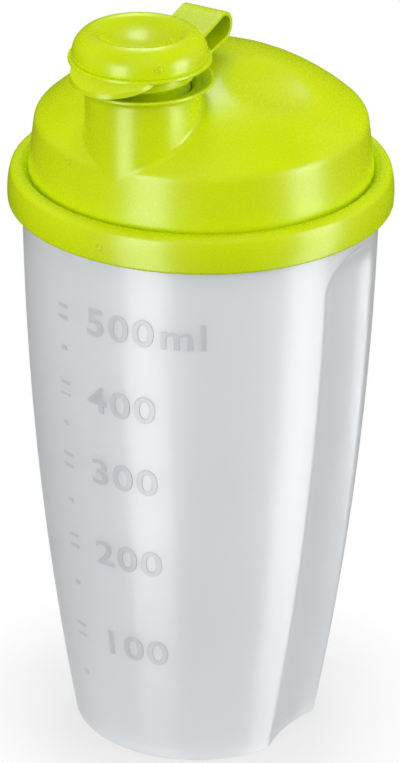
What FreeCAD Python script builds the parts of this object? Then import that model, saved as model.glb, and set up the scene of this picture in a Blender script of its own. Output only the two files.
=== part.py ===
import FreeCAD, Part
import math
import os

# A salad dressing shaker: a tapered beaker with two grip flutes, a domed push-on lid with a pouring
# spout, a stopper cap on a hairpin strap, a sieve in the beaker's mouth and a seal under the lid.
# Millimetres, +Z up. The origin is on the standing plane, on the beaker's axis. The spout points to -Y.

Vector = FreeCAD.Vector
UP = Vector(0, 0, 1)
SIDEWAYS = Vector(1, 0, 0)

# Shared clearances
seat_gap = 0.2            # between pieces that rest on each other and come apart
slide_gap = 0.3           # between pieces that pass each other
overrun = 2.0             # how far a cutting body reaches past what it cuts
rim_match = 0.2           # how near a height a circle lies to count as being at it

# Beaker
beaker_height = 147.0
base_radius = 30.6        # outside, at the standing plane
mouth_radius = 43.4       # outside, under the bead
beaker_wall = 1.5
floor_thickness = 1.8
foot_height = 1.6         # hollow under the floor
foot_width = 2.0          # narrowest width of the foot ring, at the flutes
base_rounding = 0.9
base_trim = 0.03          # how far the rounding's end stands clear of the wall
bead_height = 3.2         # bead round the mouth
bead_reach = 1.0          # how far the bead stands out
bead_rounding = 0.6
ledge_depth = 3.5         # step inside the mouth that carries the sieve
ledge_width = 0.8

# Grip flutes, one on each side
flute_depth = 3.9
flute_hollow_radius = 26.0   # hollow of the flute, seen from above, at the mouth
flute_drop = 10.0            # from the mouth down to where the arched end meets the wall
flute_end_radius = 12.0      # how the floor of the flute runs out into the wall
flute_edge_rounding = 1.6

# Lid
lid_wall = 1.6
skirt_clearance = 0.85    # between the beaker's bead and the skirt
skirt_overlap = 5.55      # how far the rim band reaches down over the beaker
snap_rib_height = 1.5
rim_bulge = 0.15          # how much wider the band is a little above its lower edge
rim_bulge_height = 3.0
rim_rounding = 0.8        # lower edge of the band
band_top_thickness = 2.2  # over the seal
crest_step = 0.95         # upper edge of the band inside its lower edge
crest_rounding = 2.2
crest_width = 2.4         # top of the band, before its edges are rounded
groove_width = 1.43       # foot of the wall inside the top of the band
groove_depth = 1.35
groove_rounding = 0.8     # where the band's top falls off to the groove
wall_height = 13.75
wall_taper = 1.77
shoulder_rounding = 3.6
dome_rise = 16.2          # top of the dome above the shoulder

# Thumb dents in the dome
dent_setback = 20.4       # middle of the dent inside the shoulder
dent_forward = 1.0        # towards the spout
dent_hollow_radius = 46.0
dent_depth = 2.3
dent_rounding = 10.0

# Spout
spout_setback = 13.1      # spout's axis inside the shoulder
neck_radius = 13.5
neck_wall = 1.7
lip_radius = 17.0
lip_rise = 2.7            # lip above the top of the dome
lip_thickness = 0.6
lip_edge = 0.7            # flat land round the edge of the lip
lip_rounding = 0.25
flare_height = 3.2
neck_rounding = 1.5       # where the neck rises out of the dome
dish_depth = 1.3
dish_floor_radius = 13.9
bore_lead_in = 1.0        # chamfer at the mouth of the bore

# Stopper cap
cap_gap = 4.6             # from the lip up to the flange
cap_lead = 1.0            # how far the crown and flange sit ahead of the plug
flange_radius = 16.9
flange_thickness = 1.0
flange_rounding = 0.3
boss_radius = 12.85
boss_rounding = 0.5
boss_gap = 0.8            # from the lip up to the shoulder of the plug
plug_clearance = 0.35     # bead of the plug in the bore
plug_bead_height = 1.0
plug_stem_radius = 10.2   # between the bead and the boss
plug_tip_radius = 9.6
plug_reach = 6.2          # tip of the plug below the lip
plug_bore_radius = 8.1
crown_radius = 15.9       # foot of the rounded crown on the flange
crown_height = 6.2
crest_ring_radius = 11.7
dish_rim_radius = 9.6
crown_dish_curve = 16.0   # radius of the hollow of the dish
crown_thickness = 1.6     # under the middle of the dish

# Thumb tab of the cap
tab_reach = 20.5          # from the cap's axis
tab_half_width = 10.6
tab_droop = 2.5
tab_thickness = 1.2
tab_root = 1.4            # how far the tab runs in over the flange

# Strap
strap_width = 11.9
strap_thickness = 1.0
strap_bend_radius = 3.25
strap_reach = 9.05        # bend's centre behind the ears
strap_bend_drop = 0.25    # bend's centre below the flange's underside
strap_ear = 1.7           # ears behind the lip and the flange, which take the strap's ends
ear_thickness = 1.2       # of the lid's ear

# Mixing sieve
sieve_thickness = 1.2
sieve_rim_thickness = 2.0
sieve_rim_width = 3.6
sieve_hole_radius = 2.6
sieve_pitch = 7.6

# Seal ring under the lid's shoulder
seal_thickness = 1.2
seal_inner_step = 0.5     # clear of the edge of the shoulder
seal_outer_step = 0.2     # clear of the skirt

# Heights and radii that follow from the sizes above
floor_top = foot_height + floor_thickness
flare = mouth_radius - base_radius
side_arc_radius = (beaker_height**2 + flare**2) / (2 * flare)
flute_top = beaker_height - flute_drop
ledge_top = beaker_height - ledge_depth
ledge_radius = mouth_radius - beaker_wall + ledge_width
bead_radius = mouth_radius + bead_reach
lid_bottom = beaker_height - skirt_overlap
lid_shelf = beaker_height + seat_gap + seal_thickness
crest_z = lid_shelf + band_top_thickness
groove_z = crest_z - groove_depth
shoulder_z = groove_z + wall_height
dome_top = shoulder_z + dome_rise
skirt_radius = bead_radius + skirt_clearance
rim_radius = skirt_radius + lid_wall
crest_radius = rim_radius - crest_step
bank_radius = crest_radius - crest_width
groove_radius = bank_radius - groove_width
shoulder_radius = groove_radius - wall_taper
dome_radius = (shoulder_radius**2 + dome_rise**2) / (2 * dome_rise)
dome_centre = dome_top - dome_radius
dent_offset = shoulder_radius - dent_setback
spout_offset = shoulder_radius - spout_setback
bore_radius = neck_radius - neck_wall
lip_top = dome_top + lip_rise
flare_bottom = lip_top - lip_thickness - flare_height
dish_floor = lip_top - dish_depth
bore_top = dish_floor - bore_lead_in
flange_bottom = lip_top + cap_gap
flange_top = flange_bottom + flange_thickness
crown_top = flange_top + crown_height
lip_bottom = lip_top - lip_thickness
ear_end = lip_radius + strap_ear - spout_offset
bend_y = ear_end + strap_reach
spout_axis = Vector(0, -spout_offset, 0)
cap_axis = Vector(0, -spout_offset - cap_lead, 0)
diagonal_share = math.sqrt(0.5)


def outer_radius(height):
    """Radius of the beaker's outer wall at a height: one arc, upright at the mouth."""
    drop = beaker_height - height
    return mouth_radius - side_arc_radius + math.sqrt(side_arc_radius**2 - drop**2)


def on_sphere(radius, sphere_radius, centre):
    """Height of a sphere's upper half at a distance from its upright axis."""
    return centre + math.sqrt(sphere_radius**2 - radius**2)


def line(start, end):
    return Part.makeLine(Vector(start[0], 0, start[1]), Vector(end[0], 0, end[1]))


def arc(start, middle, end):
    return Part.Arc(*[Vector(point[0], 0, point[1]) for point in (start, middle, end)]).toShape()


def lines(points):
    """Straight edges from each point to the next."""
    return [line(start, end) for start, end in zip(points, points[1:])]


def face_of(edges):
    return Part.Face(Part.Wire(edges))


def turned(edges, axis=Vector(0, 0, 0)):
    """A solid turned from a closed outline of (radius, height) edges round an upright axis."""
    solid = face_of(edges).revolve(Vector(0, 0, 0), UP, 360)
    solid.translate(axis)
    return solid


def ring(inner, outer, bottom, top):
    corners = [(inner, bottom), (outer, bottom), (outer, top), (inner, top), (inner, bottom)]
    return turned(lines(corners))


def block(low, high):
    size = high - low
    return Part.makeBox(size.x, size.y, size.z, low)


def rounded(solid, radius, wanted):
    """Fillets the edges for which wanted(edge) holds."""
    return solid.makeFillet(radius, [edge for edge in solid.Edges if wanted(edge)])


def is_rim_at(height):
    """A test for the full circles that lie at a height."""
    return lambda edge: edge.isClosed() and abs(edge.BoundBox.Center.z - height) < rim_match


def middle_of(edge):
    return edge.valueAt((edge.FirstParameter + edge.LastParameter) / 2)


def is_circle_of(edge, radius):
    """Whether an edge is a full circle of a radius."""
    return abs(edge.Length - 2 * math.pi * radius) < rim_match


def both_sides(solid):
    """The solid at +X and its mirror image at -X."""
    return [solid, solid.mirror(Vector(0, 0, 0), SIDEWAYS)]


def wall_edge(inset, bottom, top):
    """The arc of the beaker's side, moved inwards by inset."""
    return arc(*[(outer_radius(height) - inset, height) for height in (bottom, (bottom + top) / 2, top)])


def flute_body(thickness):
    """The space of the flute at +X, grown by a thickness, turned round an axis outside the wall."""
    axis_x = mouth_radius - flute_depth + flute_hollow_radius
    run_out = math.sqrt(flute_end_radius**2 - (flute_end_radius - flute_depth) ** 2)
    straight_top = flute_top - run_out
    bottom = -2 * overrun
    inset = flute_depth + thickness
    floor_x = outer_radius(straight_top) - inset
    end_radius = flute_end_radius + thickness
    end_x = floor_x + end_radius
    end_z = straight_top + end_radius
    halfway = (end_x - end_radius * diagonal_share, straight_top + end_radius * diagonal_share)
    edges = [wall_edge(inset, bottom, straight_top), arc((floor_x, straight_top), halfway, (end_x, end_z))]
    start_x = outer_radius(bottom) - inset
    edges += lines([(end_x, end_z), (axis_x, end_z), (axis_x, bottom), (start_x, bottom)])
    return face_of(edges).revolve(Vector(axis_x, 0, 0), UP, 360)


def is_flute_edge(edge):
    """An upright edge away from the middle of a flute, where the flute meets the wall."""
    return edge.BoundBox.ZLength > beaker_wall and abs(middle_of(edge).y) > flute_depth


def foot_trim():
    """A ring that cuts the wall off at the standing plane and rounds its outer edge."""
    side = outer_radius(base_rounding) + base_trim
    corner = side - base_rounding
    halfway = (corner + base_rounding * diagonal_share, base_rounding * (1 - diagonal_share))
    outer = side + overrun
    below = -2 * overrun
    corners = [(side, base_rounding), (outer, base_rounding), (outer, below)]
    corners += [(0, below), (0, 0), (corner, 0)]
    return turned([arc((corner, 0), halfway, (side, base_rounding))] + lines(corners))


def make_beaker():
    below = -overrun
    edges = lines([(0, beaker_height), (0, below), (outer_radius(below), below)])
    edges += [wall_edge(0, below, beaker_height), line((mouth_radius, beaker_height), (0, beaker_height))]
    outside = turned(edges).cut(both_sides(flute_body(0)))
    outside = rounded(outside, flute_edge_rounding, is_flute_edge).cut(foot_trim())

    bead = ring(ledge_radius, bead_radius, beaker_height - bead_height, beaker_height)
    bead = rounded(bead, bead_rounding, lambda edge: edge.isClosed() and edge.BoundBox.XMax > mouth_radius)

    above = beaker_height + overrun
    edges = [line((0, floor_top), (outer_radius(floor_top) - beaker_wall, floor_top))]
    edges += [wall_edge(beaker_wall, floor_top, ledge_top)]
    ledge_inner = outer_radius(ledge_top) - beaker_wall
    edges += lines([(ledge_inner, ledge_top), (ledge_radius, ledge_top), (ledge_radius, above), (0, above)])
    edges += [line((0, above), (0, floor_top))]
    inside = turned(edges).cut(both_sides(flute_body(beaker_wall)))

    foot_radius = base_radius - flute_depth - foot_width
    foot_hollow = Part.makeCylinder(foot_radius, foot_height + overrun, Vector(0, 0, -overrun))
    return outside.fuse(bead).cut([inside, foot_hollow])


def dome_body(inset, bottom):
    """The lid's wall and dome as a full body, moved inwards by inset, from a bottom height up."""
    foot = groove_radius - inset
    shoulder = shoulder_radius - inset
    sphere = dome_radius - inset
    corner_z = on_sphere(shoulder, sphere, dome_centre)
    top = dome_centre + sphere
    halfway = (shoulder / 2, on_sphere(shoulder / 2, sphere, dome_centre))
    edges = lines([(0, bottom), (foot, bottom), (foot, groove_z), (shoulder, corner_z)])
    edges += [arc((shoulder, corner_z), halfway, (0, top)), line((0, top), (0, bottom))]
    return rounded(turned(edges), shoulder_rounding - inset, is_rim_at(corner_z))


def dent_body(thickness):
    """The ball that presses the thumb dent into the dome at +X, grown by a thickness."""
    plan_distance = math.hypot(dent_offset, dent_forward)
    outwards = Vector(dent_offset, -dent_forward, on_sphere(plan_distance, dome_radius, 0))
    reach_share = (dome_radius - dent_depth + dent_hollow_radius) / dome_radius
    return Part.makeSphere(dent_hollow_radius + thickness, outwards * reach_share + UP * dome_centre)


def spout_body():
    """The neck and its flared lip, as a full body that starts inside the wall."""
    flare_reach = lip_radius - neck_radius
    flare_radius = (flare_reach**2 + flare_height**2) / (2 * flare_reach)
    halfway_x = neck_radius + flare_radius * (1 - diagonal_share)
    halfway = (halfway_x, flare_bottom + flare_radius * diagonal_share)
    edges = lines([(0, groove_z), (neck_radius, groove_z), (neck_radius, flare_bottom)])
    edges += [arc((neck_radius, flare_bottom), halfway, (lip_radius, lip_bottom))]
    edges += lines([(lip_radius, lip_bottom), (lip_radius, lip_top), (0, lip_top), (0, groove_z)])
    return rounded(turned(edges, spout_axis), lip_rounding, is_rim_at(lip_top))


def spout_bore():
    """What is cut out of the spout: the bore, its lead-in and the dish inside the lip."""
    above = lip_top + overrun
    land = lip_radius - lip_edge
    corners = [(0, lid_bottom), (bore_radius, lid_bottom), (bore_radius, bore_top)]
    corners += [(bore_radius + bore_lead_in, dish_floor), (dish_floor_radius, dish_floor)]
    corners += [(land, lip_top), (land, above), (0, above), (0, lid_bottom)]
    return turned(lines(corners), spout_axis)


def is_dent_edge(edge):
    """The rim of a thumb dent: off to the side and not level."""
    return edge.BoundBox.ZLength > dent_depth and abs(middle_of(edge).x) > rim_match


def is_neck_crease(edge):
    """The line on the neck, below its flare, where it rises out of the dome."""
    middle = middle_of(edge)
    apart = math.hypot(middle.x, middle.y + spout_offset) - neck_radius
    on_neck = abs(apart) < rim_match and groove_z < middle.z < flare_bottom - rim_match
    return on_neck and edge.Curve.TypeId != "Part::GeomLine"


def make_whole_lid():
    inner_radius = groove_radius - lid_wall
    bulge = (rim_radius + rim_bulge, lid_bottom + rim_bulge_height)
    edges = [arc((rim_radius, lid_bottom), bulge, (crest_radius, crest_z))]
    edges += lines([(crest_radius, crest_z), (bank_radius, crest_z), (groove_radius, groove_z)])
    edges += lines([(groove_radius, groove_z), (inner_radius, groove_z), (inner_radius, lid_bottom)])
    edges += [line((inner_radius, lid_bottom), (rim_radius, lid_bottom))]
    band = rounded(turned(edges), crest_rounding, lambda edge: is_circle_of(edge, crest_radius))
    band = rounded(band, groove_rounding, lambda edge: is_circle_of(edge, bank_radius))
    band = rounded(band, rim_rounding, lambda edge: is_circle_of(edge, rim_radius))

    dome = dome_body(0, lid_shelf).cut(both_sides(dent_body(0)))
    dome = rounded(dome, dent_rounding, is_dent_edge).fuse(spout_body())
    dome = rounded(dome, neck_rounding, is_neck_crease)
    ear = strap_ear_body(neck_radius - spout_offset, lip_top - ear_thickness, lip_top)
    outside = band.fuse([dome, ear])

    below = lid_bottom - overrun
    cavity = dome_body(lid_wall, below).cut(both_sides(dent_body(lid_wall)))
    skirt_space = Part.makeCylinder(skirt_radius, lid_shelf - below, Vector(0, 0, below))
    hollow = outside.cut([cavity, skirt_space, spout_bore()])

    snap_rib = ring(bead_radius + slide_gap, skirt_radius, lid_bottom, lid_bottom + snap_rib_height)
    return hollow.fuse(snap_rib).removeSplitter()


def make_lid():
    """The lid in two nodes that meet at the groove, so that each is a simpler shape: dome and rim."""
    whole = make_whole_lid()
    below = lid_bottom - overrun
    above = crest_z + overrun
    beyond = rim_radius + overrun
    corners = [(0, below), (beyond, below), (beyond, above)]
    corners += [(groove_radius, above), (groove_radius, groove_z)]
    rim_space = turned(lines(corners + [(0, groove_z), (0, below)]))
    return whole.cut(rim_space), whole.common(rim_space)


def plug_body():
    """The hollow plug: a tapered tip, a bead that fills the bore and a stem up into the boss."""
    tip = lip_top - plug_reach
    bead = bore_radius - plug_clearance
    corners = [(plug_bore_radius, tip), (plug_tip_radius, tip), (bead, bore_top - plug_bead_height)]
    corners += [(bead, bore_top), (plug_stem_radius, dish_floor), (plug_stem_radius, flange_top)]
    corners += [(plug_bore_radius, flange_top), (plug_bore_radius, tip)]
    return turned(lines(corners), spout_axis)


def crown_body():
    """Boss, flange and rounded crown with its dish, as a full body."""
    boss_bottom = lip_top + boss_gap
    dish_slope = math.asin(dish_rim_radius / crown_dish_curve)
    half_slope = dish_slope / 2
    roll_radius = (crest_ring_radius - dish_rim_radius) / math.sin(dish_slope)
    roll_x = crest_ring_radius - roll_radius * math.sin(half_slope)
    roll_z = crown_top - roll_radius * (1 - math.cos(half_slope))
    dish_rim_z = crown_top - roll_radius * (1 - math.cos(dish_slope))
    dish_centre = dish_rim_z + crown_dish_curve * math.cos(dish_slope)
    dish_x = crown_dish_curve * math.sin(half_slope)
    dish_z = dish_centre - crown_dish_curve * math.cos(half_slope)
    crown_x = crest_ring_radius + (crown_radius - crest_ring_radius) * diagonal_share
    crown_z = flange_top + crown_height * diagonal_share
    dish_bottom = dish_centre - crown_dish_curve
    corners = [(0, boss_bottom), (boss_radius, boss_bottom), (boss_radius, flange_bottom)]
    corners += [(flange_radius, flange_bottom), (flange_radius, flange_top), (crown_radius, flange_top)]
    edges = lines(corners)
    edges += [arc((crown_radius, flange_top), (crown_x, crown_z), (crest_ring_radius, crown_top))]
    edges += [arc((crest_ring_radius, crown_top), (roll_x, roll_z), (dish_rim_radius, dish_rim_z))]
    edges += [arc((dish_rim_radius, dish_rim_z), (dish_x, dish_z), (0, dish_bottom))]
    edges += [line((0, dish_bottom), (0, boss_bottom))]
    crown = rounded(turned(edges, cap_axis), boss_rounding, is_rim_at(boss_bottom))
    return rounded(crown, flange_rounding, lambda edge: is_circle_of(edge, flange_radius)), dish_bottom


def make_stopper_cap():
    crown, dish_bottom = crown_body()
    below = lip_top - plug_reach
    hollow_height = dish_bottom - crown_thickness - below
    hollow = Part.makeCylinder(plug_bore_radius, hollow_height, Vector(0, -spout_offset, below))
    ear = strap_ear_body(boss_radius - spout_offset - cap_lead, flange_bottom, flange_top)
    return crown.fuse([plug_body(), thumb_tab(), ear]).cut(hollow).removeSplitter()


def thumb_tab():
    """A drooping crescent on the front of the flange: a cone's skirt, trimmed to a round end."""
    root = flange_radius - tab_root
    end_top = flange_top - tab_droop
    corners = [(root, flange_top), (root, flange_top - tab_thickness), (tab_reach, end_top - tab_thickness)]
    skirt = turned(lines(corners + [(tab_reach, end_top), (root, flange_top)]), cap_axis)
    corner_depth = math.sqrt(flange_radius**2 - tab_half_width**2)
    centre = (tab_reach**2 - flange_radius**2) / (2 * (tab_reach - corner_depth))
    trim_bottom = Vector(0, -spout_offset - cap_lead - centre, lip_top)
    trim = Part.makeCylinder(tab_reach - centre, crown_top - lip_top, trim_bottom)
    return skirt.common(trim)


def strap_ear_body(front, bottom, top):
    """An ear that runs back from a lip or flange to the end of the strap."""
    return block(Vector(-strap_width / 2, front, bottom), Vector(strap_width / 2, ear_end, top))


def make_cap_strap():
    """A flat strip: from the cap's ear up to the bend, round it, and down to the lid's ear."""
    half = strap_thickness / 2
    bend_z = flange_bottom - strap_bend_drop
    start_y = ear_end + seat_gap

    def slope(end_y, spread):
        """Angle of a leg that touches the bend and ends at end_y, spread away from the bend's height."""
        ahead = bend_y - end_y
        return math.asin(strap_bend_radius / math.hypot(ahead, spread)) - math.atan2(spread, ahead)

    climb = slope(start_y, (flange_bottom + flange_top) / 2 - bend_z)
    dip = slope(ear_end, bend_z - lip_top + ear_thickness / 2)

    def side(radius):
        """Start, tangent point, back of the bend, second tangent point and end, on one face of the strip."""
        upper = (bend_y - radius * math.sin(climb), bend_z + radius * math.cos(climb))
        lower = (bend_y - radius * math.sin(dip), bend_z - radius * math.cos(dip))
        start = (start_y, upper[1] - (upper[0] - start_y) * math.tan(climb))
        end = (ear_end, lower[1] + (lower[0] - ear_end) * math.tan(dip))
        return start, upper, (bend_y + radius, bend_z), lower, end

    def edge(kind, points):
        places = [Vector(-strap_width / 2, y, z) for y, z in points]
        return kind(*places) if kind is Part.makeLine else kind(*places).toShape()

    outer = side(strap_bend_radius + half)
    inner = side(strap_bend_radius - half)
    edges = []
    for start, upper, back, lower, end in (outer, inner):
        edges += [edge(Part.makeLine, (start, upper)), edge(Part.Arc, (upper, back, lower))]
        edges += [edge(Part.makeLine, (lower, end))]
    edges += [edge(Part.makeLine, (outer[0], inner[0])), edge(Part.makeLine, (outer[-1], inner[-1]))]
    strip = Part.Face(Part.Wire(Part.__sortEdges__(edges)))
    return strip.extrude(SIDEWAYS * strap_width)


def make_mixing_sieve():
    bottom = ledge_top + seat_gap
    radius = ledge_radius - slide_gap
    disc = Part.makeCylinder(radius, sieve_thickness, Vector(0, 0, bottom))
    rim = ring(radius - sieve_rim_width, radius, bottom, bottom + sieve_rim_thickness)
    field = radius - sieve_rim_width - sieve_pitch / 2
    row_step = sieve_pitch * math.sin(math.radians(60))
    rows = math.ceil(field / row_step)
    columns = math.ceil(field / sieve_pitch)
    holes = []
    for row in range(-rows, rows + 1):
        shift_share = (row % 2) / 2
        for column in range(-columns, columns + 1):
            place = Vector((column + shift_share) * sieve_pitch, row * row_step, bottom - overrun)
            if math.hypot(place.x, place.y) < field:
                holes.append(Part.makeCylinder(sieve_hole_radius, sieve_thickness + 2 * overrun, place))
    return disc.fuse(rim).removeSplitter().cut(holes)


def make_lid_seal_ring():
    inner = groove_radius - lid_wall + seal_inner_step
    return ring(inner, skirt_radius - seal_outer_step, lid_shelf - seal_thickness, lid_shelf)


lid_dome, lid_rim = make_lid()
pieces = {
    "beaker": make_beaker(),
    "lid": lid_dome,
    "lid_rim": lid_rim,
    "stopper_cap": make_stopper_cap(),
    "cap_strap": make_cap_strap(),
    "mixing_sieve": make_mixing_sieve(),
    "lid_seal_ring": make_lid_seal_ring(),
}

os.makedirs("parts", exist_ok=True)
for name, shape in pieces.items():
    shape.exportStep(os.path.join("parts", name + ".step"))
    print(name, len(shape.Solids), "solid", round(shape.Volume / 1000, 2), "cm3", "valid", shape.isValid())
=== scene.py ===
# %% [markdown]
# A salad dressing shaker
#
# The bottle is three mouldings and two hidden inserts. A milky beaker with a raised scale carries a
# lime lid, the lid carries a stopper cap on a hairpin strap, and a sieve and a seal sit under the lid.
# The frame holds the exact solids, so this lesson adds what solids leave out: the moulded scale, the
# bent strap, small marks of the mould, and above all the two plastics.

# %% Load the frame
import math

import bmesh
import bpy
from mathutils import Matrix, Vector
from mathutils.bvhtree import BVHTree


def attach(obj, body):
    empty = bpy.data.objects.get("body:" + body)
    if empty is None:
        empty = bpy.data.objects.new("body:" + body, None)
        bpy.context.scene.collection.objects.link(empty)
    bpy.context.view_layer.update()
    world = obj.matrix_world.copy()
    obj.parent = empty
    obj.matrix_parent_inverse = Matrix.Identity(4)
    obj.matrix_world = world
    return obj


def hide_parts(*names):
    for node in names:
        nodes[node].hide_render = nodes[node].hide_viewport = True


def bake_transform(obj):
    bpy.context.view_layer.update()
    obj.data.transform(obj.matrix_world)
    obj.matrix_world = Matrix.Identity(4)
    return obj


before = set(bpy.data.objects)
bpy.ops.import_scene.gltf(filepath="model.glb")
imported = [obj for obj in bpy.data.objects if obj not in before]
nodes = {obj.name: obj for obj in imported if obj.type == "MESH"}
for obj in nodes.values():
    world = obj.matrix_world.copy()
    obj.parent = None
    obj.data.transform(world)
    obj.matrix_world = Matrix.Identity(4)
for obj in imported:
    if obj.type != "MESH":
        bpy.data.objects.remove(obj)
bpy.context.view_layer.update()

MM = 0.001

# %% [markdown]
# The camera
#
# The photograph was taken from a little to the right of the spout and from above, with a long lens. A
# long lens flattens perspective, so the distance and the focal length belong together. The bottle's
# foot hangs a little off the middle of the frame, which the lens shift takes up, and the whole bottle
# leans by half a degree, which is a roll of the camera. The camera could be turned by hand until it
# looks right, but with angles and a distance each of these can be set by itself.

# %% Camera
IMAGE_WIDTH = 400
IMAGE_HEIGHT = 763
AIM_PIXEL = (198.6, 404.0)            # where the aim point lies in the photograph
AIM = Vector((0, 0, 85.0 * MM))
VIEW_AZIMUTH = math.radians(31)
VIEW_ELEVATION = math.radians(26.3)
VIEW_DISTANCE = 1039.5 * MM
VIEW_ROLL = 0.0105                    # radians
FOCAL_PIXELS = 4173.9
SENSOR_HEIGHT = 36.0                  # millimetres, as the camera's lens setting is


def away(azimuth, elevation):
    """The direction from the bottle to a place round it; azimuth 0 is in front of the spout."""
    level = math.cos(elevation)
    return Vector((math.sin(azimuth) * level, -math.cos(azimuth) * level, math.sin(elevation)))


camera = bpy.data.objects.new("camera", bpy.data.cameras.new("camera"))
bpy.context.scene.collection.objects.link(camera)
lens = camera.data
lens.sensor_fit = "VERTICAL"
lens.sensor_height = SENSOR_HEIGHT
lens.lens = FOCAL_PIXELS * SENSOR_HEIGHT / IMAGE_HEIGHT
lens.shift_x = (IMAGE_WIDTH / 2 - AIM_PIXEL[0]) / IMAGE_HEIGHT
lens.shift_y = (AIM_PIXEL[1] - IMAGE_HEIGHT / 2) / IMAGE_HEIGHT
outwards = away(VIEW_AZIMUTH, VIEW_ELEVATION)
turn = outwards.to_track_quat("Z", "Y").to_matrix() @ Matrix.Rotation(VIEW_ROLL, 3, "Z")
camera.matrix_world = Matrix.Translation(AIM + outwards * VIEW_DISTANCE) @ turn.to_4x4()
bpy.context.scene.camera = camera
print("lens", round(lens.lens, 1), "mm, shift", round(lens.shift_x, 4), round(lens.shift_y, 4))

# %% [markdown]
# Helpers for materials
#
# Colours are written as they look on a screen, and one function turns them into the linear values that
# a renderer adds up. One more function adds a node, with its settings and links, so that each material
# reads as a list of what the surface is made of.


# %% Material helpers
def linear(hex_colour):
    """An sRGB hex colour as linear red, green, blue and alpha."""
    shares = [int(hex_colour[place : place + 2], 16) / 255 for place in (0, 2, 4)]
    return (*[s / 12.92 if s <= 0.04045 else ((s + 0.055) / 1.055) ** 2.4 for s in shares], 1.0)


def add(tree, kind, inputs=(), **settings):
    """Adds a node. Inputs are values, or the output sockets to link, by name or number."""
    made = tree.nodes.new(kind)
    for name, value in settings.items():
        setattr(made, name, value)
    for name, value in dict(inputs).items():
        if isinstance(value, bpy.types.NodeSocket):
            tree.links.new(value, made.inputs[name])
        else:
            made.inputs[name].default_value = value
    return made


def new_material(name):
    """An empty node material, and its tree."""
    made = bpy.data.materials.new(name)
    made.use_nodes = True
    made.node_tree.nodes.clear()
    return made, made.node_tree


def finish(tree, shader):
    """Joins a shader to the material's output."""
    output = tree.nodes.new("ShaderNodeOutputMaterial")
    tree.links.new(shader, output.inputs["Surface"])


print("middle grey on a screen is", round(linear("808080")[0], 3), "in linear light")

# %% [markdown]
# Lime polyethylene
#
# The lid, cap and strap are soft polyethylene, injection moulded in a tool with a fine spark-eroded
# grain. The grain breaks a highlight into a satin sheen with a sparkle in it, and the colour runs all
# through the plastic, with the faintest clouding where the pigment flowed. The grain could be modelled,
# but it is far too fine for a mesh, so it is a bump and a change of roughness.

# %% Lime polyethylene
LIME_DEEP = "C4DA00"
LIME_PALE = "CAE000"
CLOUD = 24 * MM                  # size of the clouds in the pigment
CLOUD_EDGES = (0.35, 0.65)       # where the noise is at its deep colour, and at its pale one
GRAIN = 0.55 * MM                # real spark grain is about 0.1 mm, drawn coarser so that it shows
GRAIN_DEPTH = 0.04 * MM
GRAIN_STRENGTH = 0.35
SATIN = (0.22, 0.32)             # roughness in the pits of the grain, and on its peaks
POLYETHYLENE_IOR = 1.51


def lime_polyethylene():
    """Satin all over, with a sparkle where the grain turns towards a lamp."""
    made, tree = new_material("lime_polyethylene_spark_grain")
    place = add(tree, "ShaderNodeTexCoord").outputs["Object"]
    cloud = add(tree, "ShaderNodeTexNoise", {"Vector": place, "Scale": 1 / CLOUD, "Detail": 2.0})
    colour = add(tree, "ShaderNodeValToRGB", {"Fac": cloud.outputs["Fac"]})
    stops = colour.color_ramp.elements
    for stop, position, tint in zip(stops, CLOUD_EDGES, (LIME_DEEP, LIME_PALE)):
        stop.position = position
        stop.color = linear(tint)
    grain = add(tree, "ShaderNodeTexNoise", {"Vector": place, "Scale": 1 / GRAIN, "Detail": 1.0})
    height = grain.outputs["Fac"]
    rough = add(tree, "ShaderNodeMapRange", {"Value": height, "To Min": SATIN[0], "To Max": SATIN[1]})
    bump = add(
        tree, "ShaderNodeBump", {"Height": height, "Strength": GRAIN_STRENGTH, "Distance": GRAIN_DEPTH}
    )
    shader = add(
        tree,
        "ShaderNodeBsdfPrincipled",
        {
            "Base Color": colour.outputs["Color"],
            "Roughness": rough.outputs["Result"],
            "Normal": bump.outputs["Normal"],
            "IOR": POLYETHYLENE_IOR,
        },
    )
    finish(tree, shader.outputs["BSDF"])
    return made


LIME = lime_polyethylene()
print("made", LIME.name)

# %% [markdown]
# Translucent polypropylene
#
# The beaker is unpigmented polypropylene. Its crystals scatter light, so the wall is milky: it lets
# light through and blurs what is behind it. A rough transmitting surface gives that, a thin coat adds
# the soft gloss of the polished mould, and sheen brightens the wall where it is seen edge on, as the
# scattering does. A volume that scatters could do the same, but it is slow and noisy in so thin a wall.
# The raised scale is the same plastic with painted shade: its colour is a darker copy, standing in for
# the light that its thicker strokes hold back.

# %% Translucent polypropylene
FLOW = 60 * MM                   # size of the clouds that the plastic leaves as it fills the mould
MILKY_ROUGHNESS = (0.34, 0.42)
POLYPROPYLENE_IOR = 1.49


def milky_polypropylene(name, deep, pale):
    """A milky wall with a soft gloss, between two tints."""
    made, tree = new_material(name)
    place = add(tree, "ShaderNodeTexCoord").outputs["Object"]
    flow = add(tree, "ShaderNodeTexNoise", {"Vector": place, "Scale": 1 / FLOW, "Detail": 1.0})
    colour = add(tree, "ShaderNodeValToRGB", {"Fac": flow.outputs["Fac"]})
    colour.color_ramp.elements[0].color = linear(deep)
    colour.color_ramp.elements[1].color = linear(pale)
    smoothest, roughest = MILKY_ROUGHNESS
    rough = add(
        tree,
        "ShaderNodeMapRange",
        {"Value": flow.outputs["Fac"], "To Min": smoothest, "To Max": roughest},
    )
    shader = add(
        tree,
        "ShaderNodeBsdfPrincipled",
        {
            "Base Color": colour.outputs["Color"],
            "Roughness": rough.outputs["Result"],
            "IOR": POLYPROPYLENE_IOR,
            "Transmission Weight": 0.45,
            "Coat Weight": 0.5,
            "Coat Roughness": 0.22,
            "Coat IOR": POLYPROPYLENE_IOR,
            "Sheen Weight": 0.7,
            "Sheen Roughness": 0.35,
        },
    )
    finish(tree, shader.outputs["BSDF"])
    return made


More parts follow.
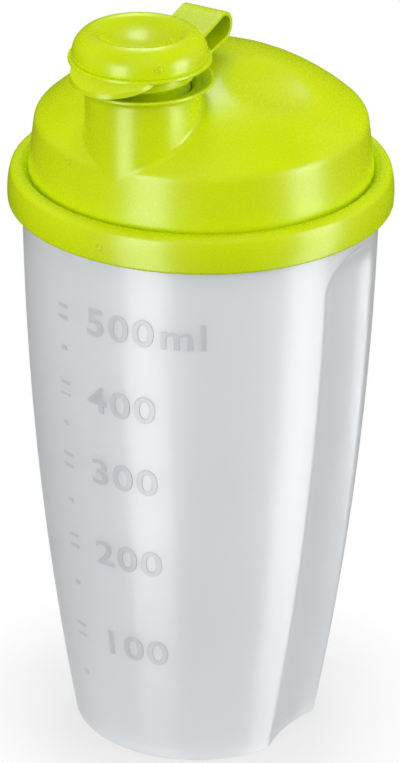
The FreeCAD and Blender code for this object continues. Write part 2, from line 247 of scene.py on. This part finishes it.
MILKY = milky_polypropylene("milky_polypropylene_moulded", "F1F3F5", "F6F8FA")
# A darker copy of the milky colour: painted shade for the scale's thicker strokes.
MILKY_PAINTED_SHADE = milky_polypropylene("milky_polypropylene_painted_shade", "DDE1E5", "E2E6E9")
print("made", MILKY.name, "and", MILKY_PAINTED_SHADE.name)

# %% [markdown]
# White polypropylene and silicone
#
# The sieve and the seal hide inside, but they show when the lid comes off. The sieve is plain white
# polypropylene, and the seal is soft silicone. Neither has a grain, so one recipe with a slow drift of
# colour serves both; a flat colour would do as well, but it looks painted.

# %% Inserts
SILICONE_IOR = 1.41


def plain_moulding(name, pale, deep, roughness, ior):
    """A matt moulding whose colour drifts a little, as it does where a tool wears."""
    made, tree = new_material(name)
    place = add(tree, "ShaderNodeTexCoord").outputs["Object"]
    drift = add(tree, "ShaderNodeTexNoise", {"Vector": place, "Scale": 1 / CLOUD, "Detail": 3.0})
    colour = add(tree, "ShaderNodeValToRGB", {"Fac": drift.outputs["Fac"]})
    colour.color_ramp.elements[0].color = linear(deep)
    colour.color_ramp.elements[1].color = linear(pale)
    shader = add(
        tree,
        "ShaderNodeBsdfPrincipled",
        {"Base Color": colour.outputs["Color"], "Roughness": roughness, "IOR": ior},
    )
    finish(tree, shader.outputs["BSDF"])
    return made


SIEVE_WHITE = plain_moulding("white_polypropylene_moulded", "F4F4F0", "EBEBE6", 0.42, POLYPROPYLENE_IOR)
SEAL_CLEAR = plain_moulding("clear_silicone_moulded", "EFEFEA", "E4E4DE", 0.55, SILICONE_IOR)
print("made", SIEVE_WHITE.name, "and", SEAL_CLEAR.name)

# %% [markdown]
# Dressing the solids
#
# Each solid of the frame is one moulding in one plastic, so it wears one material all over. A material
# could be given face by face, but nothing on this bottle is painted or printed. The strap is left out
# here, because a bent strip takes its place further down.

# %% Dress the solids
for node_name, made in {
    "beaker": MILKY,
    "lid": LIME,
    "lid_rim": LIME,
    "stopper_cap": LIME,
    "mixing_sieve": SIEVE_WHITE,
    "lid_seal_ring": SEAL_CLEAR,
}.items():
    worn = nodes[node_name].data.materials
    worn.clear()
    worn.append(made)
    print(node_name, "wears", made.name)

# %% [markdown]
# The moulded scale
#
# The beaker's scale is cut into the tool, so it stands out from the wall in soft-edged strokes of the
# same plastic. It could be a bump in the material, but real relief catches the light at its edges and
# stays in the mesh. Each stroke is made flat, sliced so that it can bend, and then laid on the wall: a
# ray from outside finds the wall behind each of its corners.

# %% Laying flat shapes on the wall
SCALE_RELIEF = 0.19 * MM
SCALE_SINK = 0.16 * MM           # the back of each stroke lies this far inside the wall
SLICE = 1.2 * MM                 # flat faces are cut this often before they bend round the wall
OUTSIDE = 60 * MM                # rays start this far from the axis, clear of the wall

beaker_wall = BVHTree.FromObject(nodes["beaker"], bpy.context.evaluated_depsgraph_get())


def wall_point(angle, height):
    """The outer wall's point at an angle from the spout's side, and the direction away from the axis."""
    outward = Vector((math.sin(angle), -math.cos(angle), 0))
    place = beaker_wall.ray_cast(outward * OUTSIDE + Vector((0, 0, height)), -outward)[0]
    return place, outward


def lay_on_wall(shape, along, height):
    """Bends a flat shape, thick from 0 upwards, round the wall; along is measured on the wall's arc."""
    radius = wall_point(0, height)[0].xy.length
    for corner in shape.verts:
        flat = corner.co.copy()
        place, outward = wall_point((along + flat.x) / radius, height + flat.y)
        corner.co = place + outward * (flat.z - SCALE_SINK)


def slice_across(shape, step):
    """Cuts a shape by upright planes so that it can bend."""
    reach = [corner.co.x for corner in shape.verts]
    first = math.ceil(min(reach) / step)
    last = math.floor(max(reach) / step)
    for count in range(first, last + 1):
        geometry = shape.verts[:] + shape.edges[:] + shape.faces[:]
        bmesh.ops.bisect_plane(shape, geom=geometry, plane_co=(count * step, 0, 0), plane_no=(1, 0, 0))


print("wall radius at the height of the aim:", round(wall_point(0, AIM.z)[0].xy.length / MM, 2), "mm")

# %% [markdown]
# Raised text
#
# The numbers are plain upright digits with rounded strokes. They could be drawn stroke by stroke, but a
# text object already holds the digits' outlines, and its own extrusion and bevel make each stroke a
# rounded solid. The text becomes a bmesh while it is still flat, so that it can be widened and sliced.

# %% Text as a flat, raised shape
DIGIT_HEIGHT = 7.1 * MM
DIGIT_SHARE = 0.727              # digit height over text size, in the built-in face
DIGIT_WIDENING = 1.17            # the scale's digits are rounder than that face's
DIGIT_SPACING = 1.12
STROKE_GAIN = 0.002              # widens the strokes to the bold ones of the scale, in text sizes
STROKE_ROUNDING = 0.0165         # in text sizes
CURVE_STEPS = 5
ROUNDING_STEPS = 2
MERGE_SHARE = 0.02               # corners nearer than this share of a rounding are merged
TEXT_SIZE = DIGIT_HEIGHT / DIGIT_SHARE


def moulded_text(words, side):
    """A bmesh of raised text, flat, its back at 0; side LEFT or RIGHT is where it starts or ends at 0."""
    letters = bpy.data.curves.new(words, "FONT")
    letters.body = words
    letters.align_x = side
    letters.space_character = DIGIT_SPACING
    letters.offset = STROKE_GAIN
    letters.resolution_u = CURVE_STEPS
    letters.bevel_depth = STROKE_ROUNDING
    letters.bevel_resolution = ROUNDING_STEPS
    letters.extrude = (SCALE_RELIEF + SCALE_SINK) / TEXT_SIZE / 2 - STROKE_ROUNDING
    holder = bpy.data.objects.new(words, letters)
    flat = bpy.data.meshes.new_from_object(holder)
    bpy.data.objects.remove(holder)
    bpy.data.curves.remove(letters)
    shape = bmesh.new()
    shape.from_mesh(flat)
    bpy.data.meshes.remove(flat)
    bmesh.ops.remove_doubles(shape, verts=shape.verts, dist=STROKE_ROUNDING * MERGE_SHARE)
    bmesh.ops.translate(shape, verts=shape.verts, vec=(0, -DIGIT_SHARE / 2, 0))
    bmesh.ops.scale(shape, verts=shape.verts, vec=(TEXT_SIZE * DIGIT_WIDENING, TEXT_SIZE, TEXT_SIZE))
    lowest = min(corner.co.z for corner in shape.verts)
    bmesh.ops.translate(shape, verts=shape.verts, vec=(0, 0, -lowest))
    slice_across(shape, SLICE)
    return shape


print("text size for digits of", round(DIGIT_HEIGHT / MM, 1), "mm:", round(TEXT_SIZE / MM, 2), "mm")

# %% [markdown]
# Numbers up the beaker
#
# A number stands at each hundred millilitres, with its right end on one line, and the unit follows the
# topmost. The beaker is wider at the top, so the steps get shorter upwards. All strokes of the scale
# are collected in one bmesh and become one piece; separate pieces would only be more to keep track of.

# %% Numbers
NUMBERS_RIGHT = 12.6 * MM        # along the wall, from the spout's side
UNIT_LEFT = 13.6 * MM
DIGIT_LIFT = 0.5 * MM            # numbers sit this far above the marks
HUNDREDS = {100: 32.9 * MM, 200: 59.4 * MM, 300: 82.6 * MM, 400: 102.7 * MM, 500: 123.3 * MM}


def collect(shape, whole):
    """Adds a finished bmesh to the one that collects a piece."""
    loose = bpy.data.meshes.new("loose")
    shape.to_mesh(loose)
    whole.from_mesh(loose)
    bpy.data.meshes.remove(loose)
    shape.free()


scale = bmesh.new()
for volume, level in HUNDREDS.items():
    digits = moulded_text(str(volume), "RIGHT")
    width = max(c.co.x for c in digits.verts) - min(c.co.x for c in digits.verts)
    lay_on_wall(digits, NUMBERS_RIGHT, level + DIGIT_LIFT)
    collect(digits, scale)
    print(volume, "is", round(width / MM, 1), "mm wide")
unit = moulded_text("ml", "LEFT")
lay_on_wall(unit, UNIT_LEFT, HUNDREDS[500] + DIGIT_LIFT)
collect(unit, scale)

# %% [markdown]
# Marks beside the digits
#
# A pair of short bars stands at each hundred and one dash at each fifty. Each is a block with rounded
# edges, laid on the wall in the same way as the digits. Dashes could be typed as text too, but a block
# has exactly the size that is asked for.

# %% Marks
MARK_MIDDLE = -13.6 * MM
BAR = (3.4 * MM, 1.0 * MM)
BAR_SPREAD = 3.1 * MM
DASH = (1.8 * MM, 1.2 * MM)
MARK_ROUNDING = 0.18 * MM
BEVEL_STEPS = 3
FIFTIES = (19.4 * MM, 46.9 * MM, 71.1 * MM, 93.0 * MM, 113.6 * MM)


def moulded_mark(size):
    """A bmesh of one raised block with rounded edges, its back at 0."""
    shape = bmesh.new()
    thick = SCALE_RELIEF + SCALE_SINK
    bmesh.ops.create_cube(shape, size=1)
    bmesh.ops.scale(shape, verts=shape.verts, vec=(*size, thick))
    bmesh.ops.translate(shape, verts=shape.verts, vec=(0, 0, thick / 2))
    bmesh.ops.bevel(
        shape,
        geom=[edge for edge in shape.edges if max(corner.co.z for corner in edge.verts) > 0],
        offset=MARK_ROUNDING,
        segments=BEVEL_STEPS,
        profile=0.5,
        affect="EDGES",
        material=-1,
    )
    slice_across(shape, SLICE)
    return shape


for level in HUNDREDS.values():
    for side in (-1, 1):
        bar = moulded_mark(BAR)
        lay_on_wall(bar, MARK_MIDDLE, level + side * BAR_SPREAD / 2)
        collect(bar, scale)
for level in FIFTIES:
    dash = moulded_mark(DASH)
    lay_on_wall(dash, MARK_MIDDLE, level)
    collect(dash, scale)
print("marks:", 2 * len(HUNDREDS), "bars and", len(FIFTIES), "dashes")

# %% [markdown]
# The scale as a piece
#
# A piece is an object at the origin whose mesh holds its place, as the solids are. The scale is part of
# the beaker's moulding, so it rides on the beaker and shares its plastic. It could be joined to the
# beaker's mesh, but the exact solid is better left alone.


# %% Scale
def new_piece(name, shape, made, body):
    """Makes a bmesh a piece with one material, which rides on a body where one is given."""
    mesh = bpy.data.meshes.new(name)
    shape.to_mesh(mesh)
    shape.free()
    piece = bpy.data.objects.new(name, mesh)
    bpy.context.scene.collection.objects.link(piece)
    mesh.materials.append(made)
    if body:
        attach(piece, body)
    print(name, "has", len(mesh.polygons), "faces")
    return piece


# The scale wears the darker copy of the milky plastic, with its shade painted into the colour.
new_piece("beaker_scale", scale, MILKY_PAINTED_SHADE, "beaker")

# %% [markdown]
# The hairpin strap
#
# The cap hangs on a strip of the same plastic that is bent over like a hairpin. A strip is an edge that
# is pushed along a path, so one edge is extruded from the lid's ear, spun round the bend and extruded
# again to the cap's ear. A curve with a flat profile could do this too, but then its ends would be
# harder to place.

# %% Strip
STRAP_WIDTH = 11.7 * MM          # a little under the ears' width, so that its ends lie inside them
STRAP_THICKNESS = 1.0 * MM
STRAP_ROUNDING = 0.3 * MM
BEND_CENTRE = Vector((0, 0.55 * MM, 186.25 * MM))
BEND_RADIUS = 3.25 * MM
BEND_STEPS = 22
LID_END = Vector((0, -9.3 * MM, 181.16 * MM))       # inside the lid's ear
CAP_END = Vector((0, -9.2 * MM, 186.73 * MM))       # inside the cap's ear
LOWER_TILT = math.radians(10.3)                    # how the legs lean where they meet the bend
UPPER_TILT = math.radians(16.6)
LEG_STEPS = 6


def extrude_edge(shape, edge, step):
    """Pushes an edge along and returns the new one."""
    grown = bmesh.ops.extrude_edge_only(shape, edges=[edge])["geom"]
    corners = [item for item in grown if isinstance(item, bmesh.types.BMVert)]
    bmesh.ops.translate(shape, verts=corners, vec=step)
    return next(item for item in corners[0].link_edges if item.other_vert(corners[0]) in corners)


strip = bmesh.new()
half_across = Vector((STRAP_WIDTH / 2, 0, 0))
front = strip.edges.new([strip.verts.new(LID_END - half_across), strip.verts.new(LID_END + half_across)])
bend_start = BEND_CENTRE + Vector((0, math.sin(LOWER_TILT), -math.cos(LOWER_TILT))) * BEND_RADIUS
for count in range(LEG_STEPS):
    front = extrude_edge(strip, front, (bend_start - LID_END) / LEG_STEPS)
bend = bmesh.ops.spin(
    strip,
    geom=list(front.verts) + [front],
    cent=BEND_CENTRE,
    axis=(1, 0, 0),
    angle=math.pi - LOWER_TILT + UPPER_TILT,
    steps=BEND_STEPS,
)
front = next(item for item in bend["geom_last"] if isinstance(item, bmesh.types.BMEdge))
bend_end = (front.verts[0].co + front.verts[1].co) / 2
for count in range(LEG_STEPS):
    front = extrude_edge(strip, front, (CAP_END - bend_end) / LEG_STEPS)
bmesh.ops.remove_doubles(strip, verts=strip.verts, dist=STRAP_ROUNDING * MERGE_SHARE)
bmesh.ops.recalc_face_normals(strip, faces=strip.faces)
for face in strip.faces:
    face.smooth = True
print("the bend ends", round((bend_end - BEND_CENTRE).z / MM, 2), "mm above its centre")

# %% [markdown]
# Thickness, and the strip in the strap's place
#
# The strip gets its thickness and its soft edges last, as modifiers, so that they would follow it if it
# were bent. On the real lid the strap unbends as the cap opens. Here the strip takes the place of the
# rigid strap, which is hidden, and keeps the shape it was made in, riding on no body.

strap = new_piece("hairpin_strap", strip, LIME, None)
thickness = strap.modifiers.new("thickness", "SOLIDIFY")
thickness.thickness = STRAP_THICKNESS
thickness.offset = 0
rounding = strap.modifiers.new("rounding", "BEVEL")
rounding.width = STRAP_ROUNDING
rounding.segments = BEVEL_STEPS
rounding.harden_normals = True
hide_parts("cap_strap")
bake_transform(strap)
print("the strap is", round(STRAP_WIDTH / MM, 1), "by", round(STRAP_THICKNESS / MM, 1), "mm")

# %% [markdown]
# Gate marks
#
# Where the hot plastic enters a mould, a small ring is left on the moulding. There is one on the crown of
# the cap, one on the lid's wall and one on its rim. A ring is a circle spun round an axis, half sunk in
# the surface; it could be a bump, but then it would be missing from the mesh.

# %% Gate marks
GATE_RADIUS = 0.7 * MM
GATE_WIRE = 0.24 * MM
GATE_STEPS = 32
WIRE_STEPS = 10
CAP_AXIS = Vector((0, -28.2 * MM, 0))
LID_AXIS = Vector((0, 0, 0))
CROWN_GATE = (math.radians(48), 190.0 * MM)         # angle round the axis from the spout's side, height
WALL_GATE = (math.radians(-19.7), 161.0 * MM)
RIM_GATE = (math.radians(0.6), 145.7 * MM)


def gate_mark(node_name, axis, angle, height):
    """A ring on a node, at an angle round an upright axis and at a height."""
    surface = BVHTree.FromObject(nodes[node_name], bpy.context.evaluated_depsgraph_get())
    outward = Vector((math.sin(angle), -math.cos(angle), 0))
    place, facing = surface.ray_cast(axis + outward * OUTSIDE + Vector((0, 0, height)), -outward)[:2]
    ring = bmesh.new()
    bmesh.ops.create_circle(ring, segments=WIRE_STEPS, radius=GATE_WIRE)
    upright = Matrix.Rotation(math.pi / 2, 3, "X")
    bmesh.ops.rotate(ring, verts=ring.verts, cent=(0, 0, 0), matrix=upright)
    bmesh.ops.translate(ring, verts=ring.verts, vec=(GATE_RADIUS, 0, 0))
    bmesh.ops.spin(
        ring,
        geom=ring.verts[:] + ring.edges[:],
        cent=(0, 0, 0),
        axis=(0, 0, 1),
        angle=2 * math.pi,
        steps=GATE_STEPS,
        use_merge=True,
    )
    bmesh.ops.remove_doubles(ring, verts=ring.verts, dist=GATE_WIRE * MERGE_SHARE)
    bmesh.ops.recalc_face_normals(ring, faces=ring.faces)
    turned = facing.to_track_quat("Z", "Y").to_matrix().to_4x4()
    bmesh.ops.transform(ring, verts=ring.verts, matrix=Matrix.Translation(place) @ turned)
    for face in ring.faces:
        face.smooth = True
    return ring


crown_ring = gate_mark("stopper_cap", CAP_AXIS, *CROWN_GATE)
new_piece("cap_gate_mark", crown_ring, LIME, "cap")
lid_rings = bmesh.new()
collect(gate_mark("lid", LID_AXIS, *WALL_GATE), lid_rings)
collect(gate_mark("lid_rim", LID_AXIS, *RIM_GATE), lid_rings)
new_piece("lid_gate_marks", lid_rings, LIME, "lid")

# %% [markdown]
# The table's white
#
# The bottle stands on a small white table in front of a white wall, as in a catalogue. To the camera the
# table's top fades into the wall with distance, so only the soft shadow round the foot is left of it. The
# shadow could be painted, but a card that is half lit from below keeps the real one and lights the foot.

# %% White table
SHADOW_RADIUS = 30 * MM          # inside this the table is plainest, and its shadow strongest
WHITE_RADIUS = 70 * MM           # outside this the table is white to the camera
WHITE_SHARE = 0.5                # how white the table is to the camera at the foot
LIT_SHARE = 0.5                  # how much of the card's light comes from below
LIT_LEVEL = 0.55


def white_table():
    """Matt white card, which turns to plain white away from the foot."""
    made, tree = new_material("white_table")
    path = add(tree, "ShaderNodeLightPath").outputs
    seen = path["Is Camera Ray"]
    for ray in ("Is Transmission Ray", "Is Glossy Ray"):
        seen = add(tree, "ShaderNodeMath", {0: seen, 1: path[ray]}, operation="MAXIMUM").outputs["Value"]
    place = add(tree, "ShaderNodeTexCoord").outputs["Object"]
    distance = add(tree, "ShaderNodeVectorMath", {0: place}, operation="LENGTH")
    fade = add(
        tree,
        "ShaderNodeMapRange",
        {
            "Value": distance.outputs["Value"],
            "From Min": SHADOW_RADIUS,
            "From Max": WHITE_RADIUS,
            "To Min": WHITE_SHARE,
        },
        interpolation_type="SMOOTHSTEP",
    )
    white = add(tree, "ShaderNodeMath", {0: seen, 1: fade.outputs["Result"]}, operation="MULTIPLY")
    card = add(tree, "ShaderNodeBsdfDiffuse", {"Color": linear("F2F2F2")}).outputs["BSDF"]
    lit = add(tree, "ShaderNodeEmission", {"Strength": LIT_LEVEL}).outputs["Emission"]
    top = add(tree, "ShaderNodeMixShader", {0: LIT_SHARE, 1: card, 2: lit}).outputs["Shader"]
    plain = add(tree, "ShaderNodeEmission").outputs["Emission"]
    both = add(tree, "ShaderNodeMixShader", {0: white.outputs["Value"], 1: top, 2: plain})
    finish(tree, both.outputs["Shader"])
    return made


WHITE_CARD = white_table()
print("made", WHITE_CARD.name)

# %% [markdown]
# Floor
#
# The table is a disc that ends a little way past the foot. A large floor would be simpler, but it would
# hide the low soft boxes from the beaker's upright wall, which is seen from above and so mirrors what
# stands low. For the same reason the table itself isn't mirrored.

# %% Floor
TABLE_RADIUS = 100 * MM
TABLE_SIDES = 96

disc = bmesh.new()
bmesh.ops.create_circle(disc, cap_ends=True, segments=TABLE_SIDES, radius=TABLE_RADIUS)
table_mesh = bpy.data.meshes.new("table_top")
disc.to_mesh(table_mesh)
disc.free()
table = bpy.data.objects.new("table_top", table_mesh)
bpy.context.scene.collection.objects.link(table)
table.data.materials.append(WHITE_CARD)
table.visible_glossy = False
print("table", round(2 * TABLE_RADIUS / MM), "mm across")

# %% [markdown]
# Light
#
# A soft box stands on each side of the camera, and a second one hangs under it, lower than the table.
# The low pair lights nothing: it is only mirrored, as a bright upright band on the beaker, the neck and
# the lid's wall, with a darker band between. A small box behind and above is the highlight in the cap's
# dish. Wide fills all round lift the shadows and are not mirrored. One large lamp could light it all,
# but bands with dark between them are what makes a plastic look satin.

# %% Soft boxes
LAMP_DISTANCE = 1.0              # metres, as the lamps' sizes are
FILL_SIZE = 0.9


def soft_box(name, azimuth, elevation, width, height, power):
    """A lamp that faces the bottle; degrees from the camera and up, metres across and high, watts."""
    lamp = bpy.data.lights.new(name, "AREA")
    lamp.shape = "RECTANGLE"
    lamp.size = width
    lamp.size_y = height
    lamp.energy = power
    made = bpy.data.objects.new(name, lamp)
    bpy.context.scene.collection.objects.link(made)
    direction = away(VIEW_AZIMUTH + math.radians(azimuth), math.radians(elevation))
    turned = direction.to_track_quat("Z", "Y").to_matrix().to_4x4()
    made.matrix_world = Matrix.Translation(AIM + direction * LAMP_DISTANCE) @ turned
    return made


soft_box("left_box", -34, 12, 0.46, 0.6, 5.6)
soft_box("left_gleam", -34, -28, 0.46, 0.8, 5.3).visible_diffuse = False
soft_box("right_box", 72, 12, 0.42, 0.6, 5.2)
soft_box("right_gleam", 72, -28, 0.42, 0.8, 5.0).visible_diffuse = False
soft_box("over_box", 178, 62, 0.3, 0.4, 2.0)
for name, azimuth, elevation, power in (
    ("front_fill", 0, 55, 2.9),
    ("left_fill", -98, 20, 3.2),
    ("right_fill", 108, 20, 3.8),
    ("rear_fill", 180, 35, 2.6),
    ("top_fill", -165, 58, 1.8),
):
    soft_box(name, azimuth, elevation, FILL_SIZE, FILL_SIZE, power).visible_glossy = False

# %% [markdown]
# The room
#
# To the camera, and through the milky wall, the room is plain white. The light that it gives is dim, so
# that the lamps shape the bottle. What the plastic mirrors is darker still beside the boxes, apart from
# a sheet of white paper behind and below the bottle, which brightens the beaker's edges. A picture of a
# studio could stand round the bottle instead, but Light Path tells these rays apart with a few numbers.

# %% World
ROOM_LEVEL = 0.15
MIRRORED_LEVEL = 0.02            # of the room beside the boxes, as the satin plastic mirrors it
PAPER_LEVEL = 0.9
PAPER_START = 0.86               # cosine of the angle from the paper's middle where it begins to show
PAPER_FULL = 0.98
PAPER_MIDDLE = away(VIEW_AZIMUTH + math.pi, math.radians(-53))

world = bpy.data.worlds.new("studio")
bpy.context.scene.world = world
world.cycles.sampling_method = "NONE"
world.use_nodes = True
sky = world.node_tree
sky.nodes.clear()
path = add(sky, "ShaderNodeLightPath").outputs
rays = {0: path["Is Camera Ray"], 1: path["Is Transmission Ray"]}
seen = add(sky, "ShaderNodeMath", rays, operation="MAXIMUM")
direction = add(sky, "ShaderNodeTexCoord").outputs["Generated"]
towards = add(sky, "ShaderNodeVectorMath", {0: direction, 1: PAPER_MIDDLE}, operation="DOT_PRODUCT")
paper = add(
    sky,
    "ShaderNodeMapRange",
    {
        "Value": towards.outputs["Value"],
        "From Min": PAPER_START,
        "From Max": PAPER_FULL,
        "To Min": MIRRORED_LEVEL,
        "To Max": PAPER_LEVEL,
    },
    interpolation_type="SMOOTHSTEP",
)
mirrored = add(
    sky,
    "ShaderNodeMapRange",
    {"Value": path["Is Glossy Ray"], "To Min": ROOM_LEVEL, "To Max": paper.outputs["Result"]},
)
strength = add(
    sky, "ShaderNodeMapRange", {"Value": seen.outputs["Value"], "To Min": mirrored.outputs["Result"]}
)
backdrop = add(
    sky,
    "ShaderNodeBackground",
    {"Color": linear("FFFFFF"), "Strength": strength.outputs["Result"]},
)
add(sky, "ShaderNodeOutputWorld", {"Surface": backdrop.outputs["Background"]})
bpy.context.scene.view_settings.view_transform = "Standard"
print("room", ROOM_LEVEL, "mirrored", MIRRORED_LEVEL, "paper", PAPER_LEVEL)
